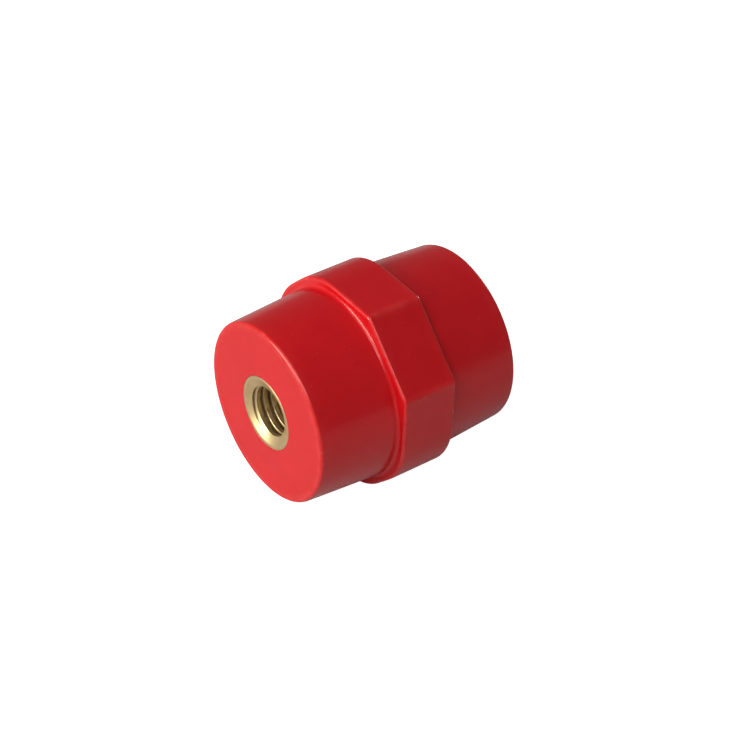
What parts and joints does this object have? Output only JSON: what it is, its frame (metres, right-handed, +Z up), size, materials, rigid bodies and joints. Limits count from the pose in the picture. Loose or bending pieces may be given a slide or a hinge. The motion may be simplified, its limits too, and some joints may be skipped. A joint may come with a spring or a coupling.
{
  "type": "standoff insulator",
  "caption": "Red moulded standoff insulator: two slightly tapered round ends, an eight-sided belt round the middle, and a blind threaded brass insert in each end face.",
  "frame": {"origin": "middle of the body, on its axis, halfway between the two end faces", "axes": "+Y along the axis from the front end face to the rear end face; +Z up, normal to the upper flat of the belt, so that the part lies on the belt's lower flat; +X to the right seen from the front end"},
  "size_m": [0.0368, 0.04, 0.0368],
  "materials": {
    "moulding": "glossy red glass-filled polyester moulding, mould-polished, faintly mottled",
    "insert_brass": "turned bright brass with fine tool rings, tapped M10"
  },
  "bodies": {
    "root": {"insulator_body": "moulding", "front_insert": "insert_brass", "rear_insert": "insert_brass"}
  },
  "joints": []
}
